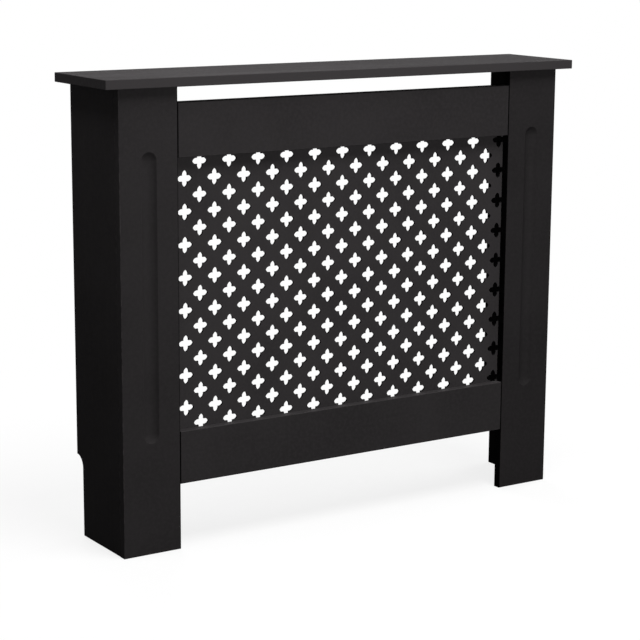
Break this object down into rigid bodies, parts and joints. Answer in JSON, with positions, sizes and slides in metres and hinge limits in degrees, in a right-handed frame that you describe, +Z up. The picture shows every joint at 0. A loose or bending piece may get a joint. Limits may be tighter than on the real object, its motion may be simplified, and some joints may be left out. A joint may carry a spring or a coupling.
{
  "type": "radiator cover cabinet",
  "caption": "Black painted radiator cover: overhanging shelf, fluted front boards, perforated grille between rails, side panels notched at the foot, knock-down cam joints.",
  "frame": {"origin": "on the floor, under the middle of the shelf's outline", "axes": "+X to the right seen from the room, +Y from the room towards the wall, +Z up"},
  "size_m": [0.975, 0.19, 0.815],
  "materials": {
    "black_paint": "fibreboard, satin black paint",
    "black_grille": "thin punched fibreboard, satin black paint",
    "dowel_wood": "plain beech",
    "pin_steel": "bright zinc plate",
    "cam_metal": "matt die-cast zinc",
    "screw_steel": "zinc plate",
    "bracket_steel": "bright zinc plate"
  },
  "bodies": {
    "cover": {"top_shelf": "black_paint", "left_side_panel": "black_paint", "right_side_panel": "black_paint", "left_front_board": "black_paint", "right_front_board": "black_paint", "top_rail": "black_paint", "bottom_rail": "black_paint", "grille_panel": "black_grille", "shelf_dowels": "dowel_wood", "front_board_dowels": "dowel_wood", "rail_dowels": "dowel_wood", "shelf_cam_pins": "pin_steel", "front_cam_pins": "pin_steel", "grille_screws": "screw_steel", "bracket_screws": "screw_steel", "left_wall_bracket": "bracket_steel", "right_wall_bracket": "bracket_steel"},
    "left_shelf_cam_front": {"left_shelf_cam_front": "cam_metal"},
    "left_shelf_cam_back": {"left_shelf_cam_back": "cam_metal"},
    "left_board_cam_bottom": {"left_board_cam_bottom": "cam_metal"},
    "left_board_cam_middle": {"left_board_cam_middle": "cam_metal"},
    "left_board_cam_top": {"left_board_cam_top": "cam_metal"},
    "right_shelf_cam_front": {"right_shelf_cam_front": "cam_metal"},
    "right_shelf_cam_back": {"right_shelf_cam_back": "cam_metal"},
    "right_board_cam_bottom": {"right_board_cam_bottom": "cam_metal"},
    "right_board_cam_middle": {"right_board_cam_middle": "cam_metal"},
    "right_board_cam_top": {"right_board_cam_top": "cam_metal"}
  },
  "joints": [
    {"name": "left_shelf_cam_front_turn", "type": "hinge", "parent": "cover", "child": "left_shelf_cam_front", "pos_m": [-0.444, -0.017, 0.765], "axis": [1, 0, 0], "range_deg": [0, 180]},
    {"name": "left_shelf_cam_back_turn", "type": "hinge", "parent": "cover", "child": "left_shelf_cam_back", "pos_m": [-0.444, 0.045, 0.765], "axis": [1, 0, 0], "range_deg": [0, 180]},
    {"name": "left_board_cam_bottom_turn", "type": "hinge", "parent": "cover", "child": "left_board_cam_bottom", "pos_m": [-0.444, -0.033, 0.12], "axis": [1, 0, 0], "range_deg": [0, 180]},
    {"name": "left_board_cam_middle_turn", "type": "hinge", "parent": "cover", "child": "left_board_cam_middle", "pos_m": [-0.444, -0.033, 0.41], "axis": [1, 0, 0], "range_deg": [0, 180]},
    {"name": "left_board_cam_top_turn", "type": "hinge", "parent": "cover", "child": "left_board_cam_top", "pos_m": [-0.444, -0.033, 0.7], "axis": [1, 0, 0], "range_deg": [0, 180]},
    {"name": "right_shelf_cam_front_turn", "type": "hinge", "parent": "cover", "child": "right_shelf_cam_front", "pos_m": [0.444, -0.017, 0.765], "axis": [-1, 0, 0], "range_deg": [0, 180]},
    {"name": "right_shelf_cam_back_turn", "type": "hinge", "parent": "cover", "child": "right_shelf_cam_back", "pos_m": [0.444, 0.045, 0.765], "axis": [-1, 0, 0], "range_deg": [0, 180]},
    {"name": "right_board_cam_bottom_turn", "type": "hinge", "parent": "cover", "child": "right_board_cam_bottom", "pos_m": [0.444, -0.033, 0.12], "axis": [-1, 0, 0], "range_deg": [0, 180]},
    {"name": "right_board_cam_middle_turn", "type": "hinge", "parent": "cover", "child": "right_board_cam_middle", "pos_m": [0.444, -0.033, 0.41], "axis": [-1, 0, 0], "range_deg": [0, 180]},
    {"name": "right_board_cam_top_turn", "type": "hinge", "parent": "cover", "child": "right_board_cam_top", "pos_m": [0.444, -0.033, 0.7], "axis": [-1, 0, 0], "range_deg": [0, 180]}
  ]
}
